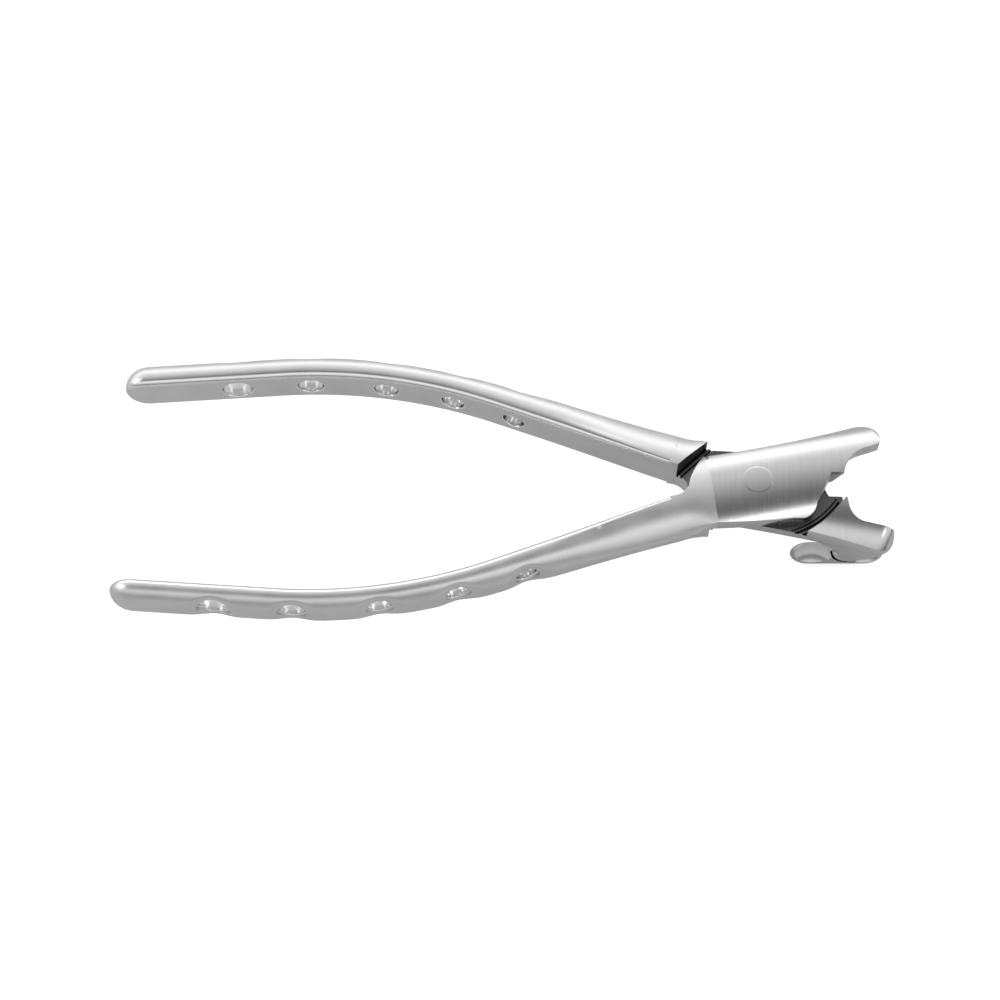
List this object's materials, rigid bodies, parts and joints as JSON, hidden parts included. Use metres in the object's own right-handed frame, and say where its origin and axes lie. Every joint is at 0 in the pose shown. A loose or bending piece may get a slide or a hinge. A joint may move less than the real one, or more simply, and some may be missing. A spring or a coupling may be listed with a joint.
{
  "type": "lap-jointed forceps",
  "caption": "Riveted lap-joint steel forceps with bowed grips drilled and scalloped for the fingers, a beak-like jaw and an opposing jaw with a cross pad.",
  "frame": {"origin": "on the pivot axis, on the flat back of the rivet", "axes": "+X along the tool towards the jaws, +Y the way the jaws open, +Z the pivot axis towards the front lever's dome"},
  "size_m": [0.177, 0.0644, 0.0223],
  "materials": {
    "satin_steel": "fine satin, bright hole walls and edges",
    "rivet_steel": "satin, dressed flush with the dome"
  },
  "bodies": {
    "front": {"front_lever": "satin_steel", "pivot_rivet": "rivet_steel"},
    "rear": {"rear_lever": "satin_steel"}
  },
  "joints": [
    {"name": "pivot", "type": "hinge", "parent": "front", "child": "rear", "pos_m": [0, 0, 0.0056], "axis": [0, 0, 1], "range_deg": [-15, 18]}
  ]
}
